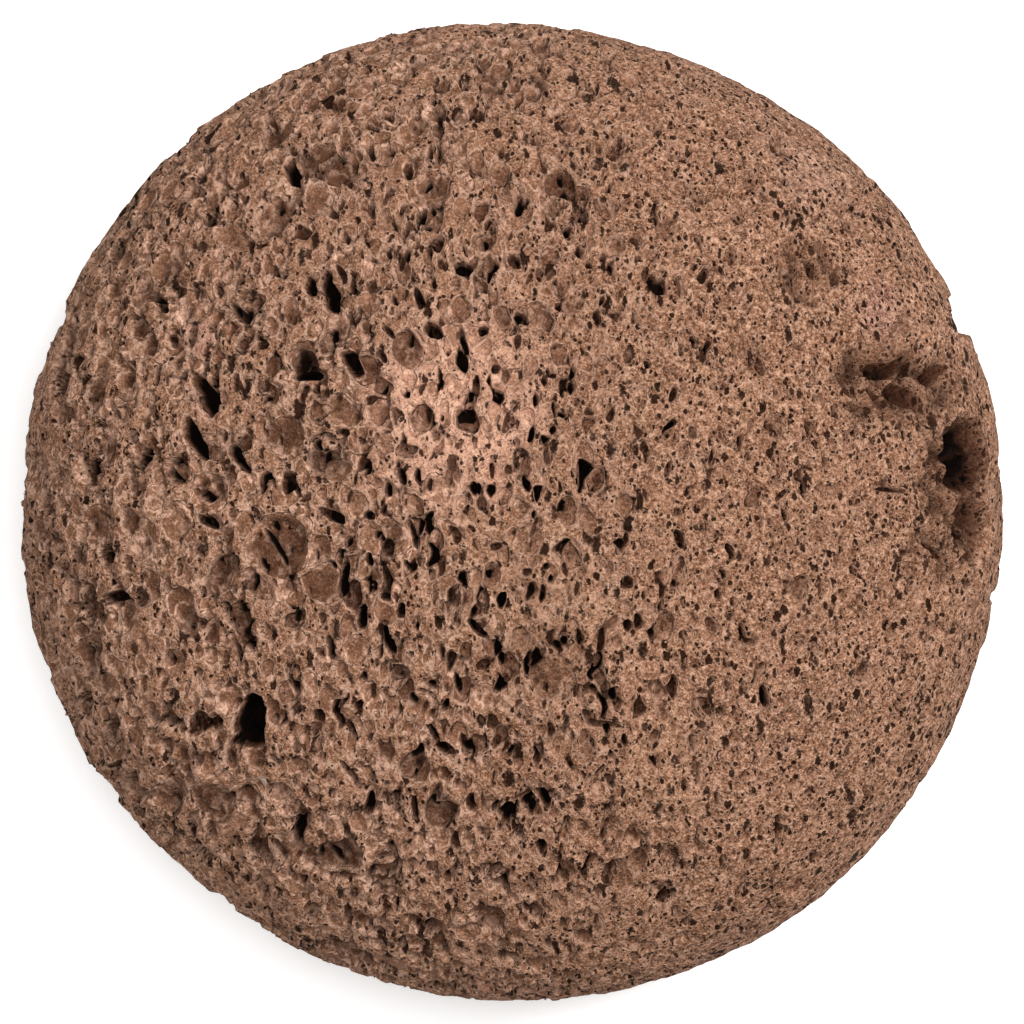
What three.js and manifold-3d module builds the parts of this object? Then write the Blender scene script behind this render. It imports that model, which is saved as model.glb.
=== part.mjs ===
// A hand-sized pumice stone: one solid, worn to a rounded, flattened pebble and riddled with gas holes.
// Units are millimetres and +Z is up. The stone lies on its flat-worn underside, which is at z = 0,
// and the origin is at the centre of that underside.
import * as THREE from "three";
import { mergeVertices } from "three/addons/utils/BufferGeometryUtils.js";
import Module from "manifold-3d";

// ---- driving dimensions ----
const PLAN_RADIUS = 40;          // radius of the nearly round outline, seen from above
const CROWN_HEIGHT = 25;         // from the widest level up to the top
const BELLY_DEPTH = 24.5;        // from the widest level down to where an unworn underside would reach
const REST_DEPTH = 21.5;         // from the widest level down to the worn flat underside
const ROUNDNESS = 2.45;          // 2 is a true ellipse in section, more is squarer at the shoulder
const ROUNDNESS_SKEW = 0.2;      // the +X side is squarer than the -X side by this much
const GRID = 18;                 // squares along each edge of the starting cube
const BIG_HOLE = 4;              // holes longer than this are cut with a finer egg
const STONE_COLOUR = 0x96705c;   // dull reddish brown

// Broad worn hollows and bulges: azimuth and elevation in degrees, spread in degrees, height in mm.
const SWELLS = [
  [165, 52, 24, -1.2],
  [120, 58, 22, 0.9],
  [250, 35, 26, -1.0],
  [20, 40, 24, 0.7],
  [310, 25, 30, 0.8],
  [75, 12, 26, -0.5],
  [200, 5, 22, 0.4],
  [345, -38, 26, -1.2],
  [95, -35, 26, 0.9],
  [215, -35, 30, -1.2],
];

// Gas holes in the upper face: x, y, length, width, the direction of the length in degrees, depth.
const CROWN_HOLES = [
  // deep, dark holes and slots of the coarse -X half
  [-20.5, -17, 4.6, 2.4, 90, 4.0],
  [-25, 5.5, 3.8, 1.6, 110, 2.6],
  [-24, 9, 4.2, 1.6, 110, 2.4],
  [-14, 17, 4.5, 1.8, 110, 2.8],
  [-16, 11, 3.0, 2.0, 10, 2.2],
  [-21.5, 4, 3.0, 1.2, 130, 2.0],
  [-34, -16, 3.2, 1.6, 90, 2.0],
  [-17, -26, 3.0, 1.2, 100, 2.2],
  [-9.5, -10.5, 2.8, 1.2, 100, 2.0],
  [-13, -5.5, 3.2, 1.0, 90, 1.8],
  [-17.5, 27, 2.8, 1.4, 100, 2.0],
  [-12.5, 11.5, 3.0, 1.6, 120, 1.6],
  [-11, -23.5, 2.8, 1.1, 70, 1.8],
  [-14, -11, 2.6, 1.0, 90, 1.6],
  [-31.5, -7, 2.6, 1.2, 0, 1.6],
  [-33.5, 3, 2.6, 1.6, 120, 1.4],
  // shallow dished hollows of the same half
  [-18, -3, 6.0, 5.2, 60, 1.3],
  [-24.5, -17, 2.6, 2.4, 0, 1.5],
  [-25.5, -9, 2.8, 2.2, 110, 1.2],
  [-13, 7.5, 3.6, 2.8, 150, 0.9],
  [-23, -23.5, 2.8, 2.6, 0, 0.9],
  [-33, -1.5, 3.2, 2.6, 90, 0.9],
  [-22, 21.5, 3.6, 2.4, 170, 0.9],
  // holes of the middle
  [-3.5, 19, 2.2, 1.4, 150, 1.6],
  [-2.5, 31.5, 1.8, 1.4, 100, 1.4],
  [-6, 14, 2.2, 1.4, 130, 1.6],
  [-8, 27, 1.6, 1.2, 100, 1.3],
  [-7, 23, 2.4, 1.0, 80, 1.4],
  [-2.5, -9.5, 2.8, 1.1, 130, 1.5],
  [-4, -18.5, 2.4, 1.4, 100, 1.5],
  [0, -36, 2.4, 1.4, 160, 1.3],
  [-3, 8.5, 1.8, 1.6, 80, 1.0],
  [1, 15, 1.4, 1.3, 0, 1.3],
  // holes of the finer +X half
  [13.5, -3.5, 4.2, 1.8, 100, 1.1],
  [12.5, -31, 2.2, 1.7, 40, 1.3],
  [24, 19, 2.4, 1.5, 100, 1.2],
  [30.5, 10, 5.5, 3.4, 20, 1.5],
  [30.5, 1.5, 3.2, 0.9, 170, 1.2],
  [7.5, -17, 3.0, 1.2, 170, 1.2],
  [13, 9, 2.0, 1.0, 70, 1.2],
  [34, -3.5, 2.8, 1.2, 150, 1.2],
  // the deep squarish hollow at the +X edge
  [36.5, 4.5, 4.8, 4.2, 90, 2.8],
  [36.5, 0.5, 4.4, 3.4, 80, 2.2],
];

// Gas holes around the rim, the flanks and the underside:
// azimuth, elevation, length, width, the direction of the length from level in degrees, depth.
const FLANK_HOLES = [
  // upright gouges that show as nicks in the outline
  [23, 0, 15.0, 3.2, 90, 1.5],
  [157, 3, 8.0, 1.8, 80, 0.5],
  [215, 0, 9.0, 2.2, 100, 0.6],
  [234, 0, 8.0, 2.0, 90, 0.5],
  // gas holes
  [188, 4, 3.4, 1.8, 20, 1.0],
  [214, -4, 3.0, 2.0, 70, 1.2],
  [246, 2, 2.8, 1.6, 120, 1.2],
  [283, -6, 3.2, 1.8, 40, 1.6],
  [318, -12, 2.8, 2.0, 100, 1.4],
  [352, -20, 3.6, 2.0, 60, 1.8],
  [52, -14, 3.0, 1.6, 80, 1.5],
  [84, -8, 3.4, 2.2, 30, 1.8],
  [112, -22, 2.6, 1.8, 110, 1.4],
  [140, -10, 3.8, 2.0, 65, 2.0],
  [168, -20, 3.0, 2.4, 0, 1.4],
  [196, -30, 4.0, 2.2, 95, 2.0],
  [232, -28, 3.4, 2.6, 30, 1.5],
  [264, -36, 3.0, 1.6, 75, 1.6],
  [300, -40, 3.6, 2.2, 120, 1.6],
  [335, -46, 2.8, 1.8, 20, 1.4],
  [12, -40, 3.2, 2.0, 85, 1.5],
  [66, -42, 3.8, 2.4, 50, 1.8],
  [128, -46, 3.2, 2.0, 100, 1.6],
];

const UNIT = Math.PI / 180;

/** Turn an azimuth and an elevation in degrees into a unit vector. */
function directionOf(azimuth, elevation) {
  const level = Math.cos(elevation * UNIT);
  return new THREE.Vector3(
    level * Math.cos(azimuth * UNIT),
    level * Math.sin(azimuth * UNIT),
    Math.sin(elevation * UNIT),
  );
}

const swells = SWELLS.map(([azimuth, elevation, spread, height]) => ({
  centre: directionOf(azimuth, elevation),
  sharpness: 1 / (spread * UNIT) ** 2,
  height,
}));

/** Distance from the stone's centre to its surface along a unit vector, before the holes. */
function stoneRadius(direction) {
  const azimuth = Math.atan2(direction.y, direction.x);
  const level = Math.hypot(direction.x, direction.y);
  // the outline wanders a little from a true circle
  const outline = PLAN_RADIUS
    * (1 + 0.004 * Math.cos(azimuth + 0.6) + 0.002 * Math.cos(3 * azimuth - 0.9));
  const height = direction.z > 0 ? CROWN_HEIGHT : BELLY_DEPTH;
  const power = ROUNDNESS + ROUNDNESS_SKEW * level * Math.cos(azimuth);
  const sum = (level / outline) ** power + (Math.abs(direction.z) / height) ** power;
  let radius = sum ** (-1 / power);
  for (const swell of swells) {
    const spread = 2 - 2 * direction.dot(swell.centre);
    radius += swell.height * Math.exp(-spread * swell.sharpness);
  }
  return radius;
}

/** The point of the surface straight above (x, y), found by halving the height's interval. */
function pointAbove(x, y) {
  let low = 0;
  let high = 2 * CROWN_HEIGHT;
  const point = new THREE.Vector3();
  for (let step = 0; step < 40; step += 1) {
    point.set(x, y, (low + high) / 2);
    if (point.length() > stoneRadius(point.clone().normalize())) {
      high = point.z;
    } else {
      low = point.z;
    }
  }
  return point;
}

/** Outward normal at a point of the surface, from the slope of distance minus radius. */
function normalAt(point) {
  const reach = 0.05;
  const excess = (p) => p.length() - stoneRadius(p.clone().normalize());
  const slopes = [0, 1, 2].map((axis) => {
    const ahead = point.clone();
    const behind = point.clone();
    ahead.setComponent(axis, point.getComponent(axis) + reach);
    behind.setComponent(axis, point.getComponent(axis) - reach);
    return excess(ahead) - excess(behind);
  });
  return new THREE.Vector3(...slopes).normalize();
}

/** The stone without its holes: a cube's grid blown out to the surface, its underside worn flat. */
function pebbleGeometry() {
  const geometry = new THREE.BoxGeometry(2, 2, 2, GRID, GRID, GRID);
  geometry.deleteAttribute("normal");
  geometry.deleteAttribute("uv");
  const shell = mergeVertices(geometry, 1e-6);
  const place = shell.attributes.position;
  const point = new THREE.Vector3();
  for (let i = 0; i < place.count; i += 1) {
    point.fromBufferAttribute(place, i);
    // a tangent spacing keeps the squares nearly even once they are on a ball
    point.set(
      Math.tan((point.x * Math.PI) / 4),
      Math.tan((point.y * Math.PI) / 4),
      Math.tan((point.z * Math.PI) / 4),
    );
    point.normalize();
    point.multiplyScalar(stoneRadius(point));
    point.z = Math.max(point.z, -REST_DEPTH);
    place.setXYZ(i, point.x, point.y, point.z);
  }
  return shell;
}

/** One hole's cutter: a faceted egg with its middle on the surface, as deep as it reaches inward. */
function holeGeometry(point, lengthways, length, width, depth) {
  const normal = normalAt(point);
  const along = lengthways.clone().addScaledVector(normal, -lengthways.dot(normal)).normalize();
  const across = new THREE.Vector3().crossVectors(normal, along);
  const detail = length > BIG_HOLE ? 2 : 1;
  const egg = new THREE.IcosahedronGeometry(1, detail);
  egg.deleteAttribute("normal");
  egg.deleteAttribute("uv");
  egg.scale(length / 2, width / 2, depth);
  egg.applyMatrix4(new THREE.Matrix4().makeBasis(along, across, normal).setPosition(point));
  return mergeVertices(egg, 1e-4);
}

const wasm = await Module();
wasm.setup();

/** Turn a closed three.js geometry into a solid that can be cut. */
function solidOf(geometry) {
  const mesh = new wasm.Mesh({
    numProp: 3,
    vertProperties: new Float32Array(geometry.attributes.position.array),
    triVerts: new Uint32Array(geometry.index.array),
  });
  return new wasm.Manifold(mesh);
}

/** Turn a cut solid back into a three.js geometry. */
function geometryOf(solid) {
  const mesh = solid.getMesh();
  const geometry = new THREE.BufferGeometry();
  geometry.setAttribute("position", new THREE.BufferAttribute(mesh.vertProperties, 3));
  geometry.setIndex(new THREE.BufferAttribute(mesh.triVerts, 1));
  return geometry;
}

function stoneGeometry() {
  let stone = solidOf(pebbleGeometry());
  for (const [x, y, length, width, turn, depth] of CROWN_HOLES) {
    const lengthways = new THREE.Vector3(Math.cos(turn * UNIT), Math.sin(turn * UNIT), 0);
    stone = stone.subtract(solidOf(holeGeometry(pointAbove(x, y), lengthways, length, width, depth)));
  }
  for (const [azimuth, elevation, length, width, turn, depth] of FLANK_HOLES) {
    const outward = directionOf(azimuth, elevation);
    const point = outward.clone().multiplyScalar(stoneRadius(outward));
    const level = new THREE.Vector3(-Math.sin(azimuth * UNIT), Math.cos(azimuth * UNIT), 0);
    const lengthways = level.multiplyScalar(Math.cos(turn * UNIT));
    lengthways.z = Math.sin(turn * UNIT);
    stone = stone.subtract(solidOf(holeGeometry(point, lengthways, length, width, depth)));
  }
  const geometry = geometryOf(stone);
  // put the middle of the outline over the origin and the worn underside on z = 0
  geometry.computeBoundingBox();
  const middle = geometry.boundingBox.getCenter(new THREE.Vector3());
  geometry.translate(-middle.x, -middle.y, REST_DEPTH);
  return geometry;
}

const stoneMaterial = new THREE.MeshStandardMaterial({
  color: STONE_COLOUR,
  roughness: 0.95,
  metalness: 0,
  flatShading: true,
});

const pumiceStone = new THREE.Mesh(stoneGeometry(), stoneMaterial);
pumiceStone.name = "pumice_stone";

const model = new THREE.Group();
model.name = "pumice_stone_model";
model.add(pumiceStone);

export default model;
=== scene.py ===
import math
import time

import bpy
import numpy as np
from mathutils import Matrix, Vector


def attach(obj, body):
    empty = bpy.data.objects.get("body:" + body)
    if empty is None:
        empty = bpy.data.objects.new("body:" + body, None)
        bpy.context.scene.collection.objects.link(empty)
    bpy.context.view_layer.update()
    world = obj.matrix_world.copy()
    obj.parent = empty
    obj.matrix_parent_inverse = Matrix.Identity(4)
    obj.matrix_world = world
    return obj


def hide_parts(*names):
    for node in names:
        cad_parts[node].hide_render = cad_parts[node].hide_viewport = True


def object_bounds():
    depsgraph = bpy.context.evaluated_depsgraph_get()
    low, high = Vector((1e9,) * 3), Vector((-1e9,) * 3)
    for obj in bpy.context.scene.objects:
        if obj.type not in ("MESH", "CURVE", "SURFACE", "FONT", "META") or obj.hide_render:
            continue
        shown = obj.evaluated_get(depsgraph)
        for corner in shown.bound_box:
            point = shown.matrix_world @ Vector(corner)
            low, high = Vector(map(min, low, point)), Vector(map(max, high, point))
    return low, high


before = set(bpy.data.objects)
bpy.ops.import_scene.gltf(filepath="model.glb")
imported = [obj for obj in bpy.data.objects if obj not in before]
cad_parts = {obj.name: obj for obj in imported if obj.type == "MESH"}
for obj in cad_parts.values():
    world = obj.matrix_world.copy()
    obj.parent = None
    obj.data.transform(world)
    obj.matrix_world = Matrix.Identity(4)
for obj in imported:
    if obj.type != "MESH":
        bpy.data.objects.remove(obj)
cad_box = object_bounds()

MM = 0.001
CLEARANCE = 0.02  # the worn flat lies this far above the floor, in mm, so that the two don't flicker

# ---- the stone's driving dimensions, in millimetres, the same as the solid's ----
PLAN_RADIUS = 40.0
CROWN_HEIGHT = 25.0
BELLY_DEPTH = 24.5
REST_DEPTH = 21.5
ROUNDNESS = 2.45
ROUNDNESS_SKEW = 0.2

# broad worn hollows and bulges: azimuth, elevation, spread in degrees, height in mm
SWELLS = [
    (165, 52, 24, -1.2),
    (120, 58, 22, 0.9),
    (250, 35, 26, -1.0),
    (20, 40, 24, 0.7),
    (310, 25, 30, 0.8),
    (75, 12, 26, -0.5),
    (200, 5, 22, 0.4),
    (345, -38, 26, -1.2),
    (95, -35, 26, 0.9),
    (215, -35, 30, -1.2),
]

GRID = 310
FACES = 198000
SEED = 7
UPPER_FADE = (-8.0, -3.0)  # heights in mm between which the upper face's holes and torn patches fade in
FLANK_STEEPNESS = 0.6      # walls of the flank's holes: 1 is upright, 0 a dish
CHIP_STEEPNESS = 0.3
FLOOR_REACH = 3.0          # metres from the middle of the floor to its edge
START = time.time()


def say(words):
    """Prints the words after the seconds that have passed since the start: now less START."""
    print(f"[{time.time() - START:6.1f}s] {words}")


def directions_of(azimuth, elevation):
    """Unit vector of an azimuth a and an elevation e in degrees: (cos e cos a, cos e sin a, sin e)."""
    a, e = math.radians(azimuth), math.radians(elevation)
    return np.array([math.cos(e) * math.cos(a), math.cos(e) * math.sin(a), math.sin(e)])


def stone_radius(d):
    """Distance from the centre to the worn skin along unit vectors d.

    A rounded box-like ellipse: the power sum of the level part over the outline radius and of the
    upright part over the height is 1, and each swell adds its height times a bell of the angle to it."""
    azimuth = np.arctan2(d[:, 1], d[:, 0])
    level = np.hypot(d[:, 0], d[:, 1])
    outline = PLAN_RADIUS * (1 + 0.004 * np.cos(azimuth + 0.6) + 0.002 * np.cos(3 * azimuth - 0.9))
    height = np.where(d[:, 2] > 0, CROWN_HEIGHT, BELLY_DEPTH)
    power = ROUNDNESS + ROUNDNESS_SKEW * level * np.cos(azimuth)
    total = (level / outline) ** power + (np.abs(d[:, 2]) / height) ** power
    radius = total ** (-1 / power)
    for azimuth_deg, elevation, spread, height_mm in SWELLS:
        away = 2 - 2 * (d @ directions_of(azimuth_deg, elevation))
        radius = radius + height_mm * np.exp(-away / math.radians(spread) ** 2)
    return radius


def ball_grid(n):
    """Unit vectors and four-cornered faces of a cube's grid blown out to a ball.

    Each cube face is a grid of two parameters s and t from -1 to 1, spaced by a tangent so that the
    squares stay even on the ball. Corners on shared cube edges are made one by their lattice place."""
    steps = np.arange(n + 1)
    s, t = np.meshgrid(steps, steps, indexing="ij")
    low, high = np.zeros_like(s), np.full_like(s, n)
    sheets = [
        np.stack([s, t, high], -1), np.stack([t, s, low], -1),
        np.stack([high, s, t], -1), np.stack([low, t, s], -1),
        np.stack([t, high, s], -1), np.stack([s, low, t], -1),
    ]
    lattice = np.concatenate([sheet.reshape(-1, 3) for sheet in sheets])
    key = (lattice[:, 0] * (n + 1) + lattice[:, 1]) * (n + 1) + lattice[:, 2]
    _, first, index = np.unique(key, return_index=True, return_inverse=True)
    index = index.reshape(6, n + 1, n + 1)
    quads = np.stack([index[:, :-1, :-1], index[:, 1:, :-1], index[:, 1:, 1:], index[:, :-1, 1:]], -1)
    corner = np.tan((lattice[first] * 2.0 / n - 1) * math.pi / 4)
    # more of the grid goes to the upper side
    corner /= np.linalg.norm(corner, axis=1)[:, None]
    corner[:, 2] += 0.30
    corner /= np.linalg.norm(corner, axis=1)[:, None]
    return corner, quads.reshape(-1, 4)


def smooth(low, high, x):
    """0 below low, 1 above high, and between them the S curve 3f^2 - 2f^3 of the way f from low to high."""
    f = np.clip((x - low) / (high - low), 0, 1)
    return f * f * (3 - 2 * f)


rng = np.random.RandomState(SEED)
LATTICE = rng.random_sample((64, 64, 64, 6)).astype(np.float32)


def noise(p, size, shift=0):
    """Smooth noise from -1 to 1: random values on a cubic lattice of the given size, blended by S curves."""
    q = p / np.float32(size) + np.float32(17.3 * (shift + 1))
    cell = np.floor(q).astype(np.int32)
    f = q - cell
    f = f * f * (3 - 2 * f)
    total = 0
    for dx in (0, 1):
        for dy in (0, 1):
            for dz in (0, 1):
                value = LATTICE[(cell[:, 0] + dx) & 63, (cell[:, 1] + dy) & 63, (cell[:, 2] + dz) & 63,
                                shift % 6]
                wx = f[:, 0] if dx else 1 - f[:, 0]
                wy = f[:, 1] if dy else 1 - f[:, 1]
                wz = f[:, 2] if dz else 1 - f[:, 2]
                total = total + value * wx * wy * wz
    return total * 2 - 1


def wobble(p, size, reach, shift=0):
    """Points moved by the reach times a vector of three smooth noises, one along each axis."""
    return p + np.float32(reach) * np.stack([noise(p, size, shift + k) for k in range(3)], -1)


def coarseness(x, y):
    """1 in the coarse foam of the -X half, falling to 0 in the fine rock of the +X half.

    The S curve 1 / (1 + e^u), where u is x + 3 mm less a tenth of y, in steps of 4.5 mm."""
    return 1 / (1 + np.exp((x + 3.0 - 0.10 * y) / 4.5))


def half(x, y):
    """1 in the -X two thirds, falling to 0 in the fine +X third: 1 / (1 + e^((x - 9) / 3.5))."""
    return 1 / (1 + np.exp((x - 9.0) / 3.5))


# Bubble families in the order that they are opened: cell in mm, smallest and largest radius as a
# share of the cell, how many of the cells are open at a place, squash along X, Y and Z, width of the
# wall kept between neighbours, share of the bubble's depth that is kept, greatest depth in mm, how far
# its outline wanders as a share of the cell, how smooth its floor is, and how much it spares the smooth
# floors that are already there.
BUBBLES = [
    ("great", 3.3, (0.30, 0.58), lambda x, y: 0.86 * coarseness(x, y),
     (0.95, 1.10, 1.0), 0.10, 0.50, 1.25, 0.16, 1.0, 0.6),
    ("foam", 1.9, (0.34, 0.62), lambda x, y: 0.06 + 0.82 * half(x, y),
     (0.84, 1.22, 1.0), 0.12, 0.62, 1.00, 0.18, 0.9, 0.5),
    ("small", 1.12, (0.30, 0.60), lambda x, y: 0.30 + 0.57 * half(x, y),
     (0.80, 1.32, 1.0), 0.13, 0.80, 0.80, 0.18, 0.7, 0.7),
    ("slot", 1.80, (0.24, 0.46), lambda x, y: 0.09 + 0.33 * half(x, y),
     (0.66, 1.45, 1.0), 0.0, 2.6, 2.6, 0.34, 0.0, 0.0),
    ("cleft", 1.42, (0.22, 0.42), lambda x, y: 0.22 + 0.28 * half(x, y),
     (0.68, 1.45, 1.1), 0.0, 1.9, 1.9, 0.34, 0.0, 0.3),
    ("pore", 0.84, (0.20, 0.46), lambda x, y: 0.75 - 0.14 * half(x, y),
     (0.85, 1.18, 1.0), 0.0, 1.3, 0.90, 0.18, 0.0, 0.5),
]


def turned(degrees_x, degrees_y, degrees_z):
    """Rotation matrix of three turns, the product of the plain turns about X, then Y, then Z."""
    out = np.eye(3)
    for axis, angle in enumerate((degrees_x, degrees_y, degrees_z)):
        c, s = math.cos(math.radians(angle)), math.sin(math.radians(angle))
        i, j = (axis + 1) % 3, (axis + 2) % 3
        step = np.eye(3)
        step[i, i], step[i, j], step[j, i], step[j, j] = c, -s, s, c
        out = step @ out
    return out.astype(np.float32)


def open_bubbles(p, inward, cell, radius, share, squash, wall, shift, pot):
    """How far inward each point must go to leave the bubble that it is in, 0 outside all of them, and
    how far the point lies inside the bubble's mouth, in mm, less than 0 outside.

    One bubble lies in each cell of a turned cubic lattice, at a random place with a random radius. A ray
    from the point leaves the ball |q - c| = r at the larger root of its quadratic. Where two bubbles'
    cells meet, a wall of the given width is left between them. A pot is cut to its own random share of
    the full depth wherever the point is inside, with an S-curved wall."""
    squash = np.array(squash, np.float32)
    turn = turned(23 + 31 * shift, 41 + 17 * shift, 12 + 47 * shift)
    q = (p / squash) @ turn / np.float32(cell) + np.float32(5.7 * (shift + 1))
    w = (inward / squash) @ turn / np.float32(cell)
    ww = np.einsum("ij,ij->i", w, w)
    base = np.floor(q).astype(np.int32)
    best = np.zeros(len(p), np.float32)
    mouth = np.full(len(p), -0.5, np.float32)
    near = np.full(len(p), 9, np.float32)
    second = np.full(len(p), 9, np.float32)
    for dx in (-1, 0, 1):
        for dy in (-1, 0, 1):
            for dz in (-1, 0, 1):
                c = base + np.array([dx, dy, dz], np.int32)
                chance = LATTICE[c[:, 0] & 63, c[:, 1] & 63, (c[:, 2] + 11 * shift) & 63]
                centre = c + np.float32(0.12) + np.float32(0.76) * chance[:, :3]
                v = q - centre
                distance = np.einsum("ij,ij->i", v, v)
                place = (centre - np.float32(5.7 * (shift + 1))) @ turn.T * squash * np.float32(cell)
                is_open = chance[:, 4] < share(place[:, 0], place[:, 1])
                r = radius[0] + (radius[1] - radius[0]) * chance[:, 3] ** 1.5
                second = np.minimum(second, np.maximum(near, distance))
                near = np.minimum(near, distance)
                b = np.einsum("ij,ij->i", v, w)
                inside = (distance < r * r) & is_open
                if pot:
                    cut = smooth(0.0, 0.45, 1 - distance / (r * r)) * (0.35 + 0.65 * chance[:, 5])
                else:
                    cut = (np.sqrt(np.maximum(b * b - ww * (distance - r * r), 0)) - b) / ww
                best = np.where(inside, np.maximum(best, cut), best)
                mouth = np.where(is_open, np.maximum(mouth, (r - np.sqrt(distance)) * cell), mouth)
    if wall > 0:
        edge = np.sqrt(second) - np.sqrt(near)
        best = best * smooth(0, wall, edge)
        mouth = np.minimum(mouth, (edge - 0.5 * wall) * 0.5 * cell)
    return best, mouth


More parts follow.
